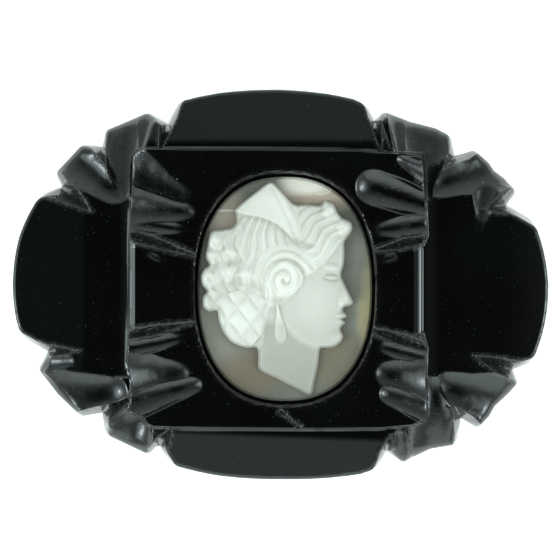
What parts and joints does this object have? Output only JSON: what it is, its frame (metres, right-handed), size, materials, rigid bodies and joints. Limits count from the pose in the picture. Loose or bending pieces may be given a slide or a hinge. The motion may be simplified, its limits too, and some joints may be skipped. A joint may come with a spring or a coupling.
{
  "type": "cameo brooch",
  "caption": "Oval two-tier black brooch with gouged flutes at its corners, a white relief bust on a small oval shell in its middle, and a pin fitting on its back.",
  "frame": {"origin": "centre of the bounding box's bottom, in the plane of the pin fitting's two feet, on which the brooch lies face up", "axes": "+X to the bust's front, the wearer's view of the brooch's right; +Y to the top of the brooch as worn; +Z out of its face"},
  "size_m": [0.0549, 0.0401, 0.011],
  "materials": {
    "black": "polished black jet or early plastic, carved by hand",
    "shell": "smooth grey-beige shell layer, faintly clouded",
    "white_shell": "white shell layer, carved and lightly polished",
    "brass": "dulled plain brass"
  },
  "bodies": {
    "root": {"frame": "black", "cameo_ground": "shell", "cameo_relief": "white_shell", "brooch_pin": "brass"}
  },
  "joints": []
}
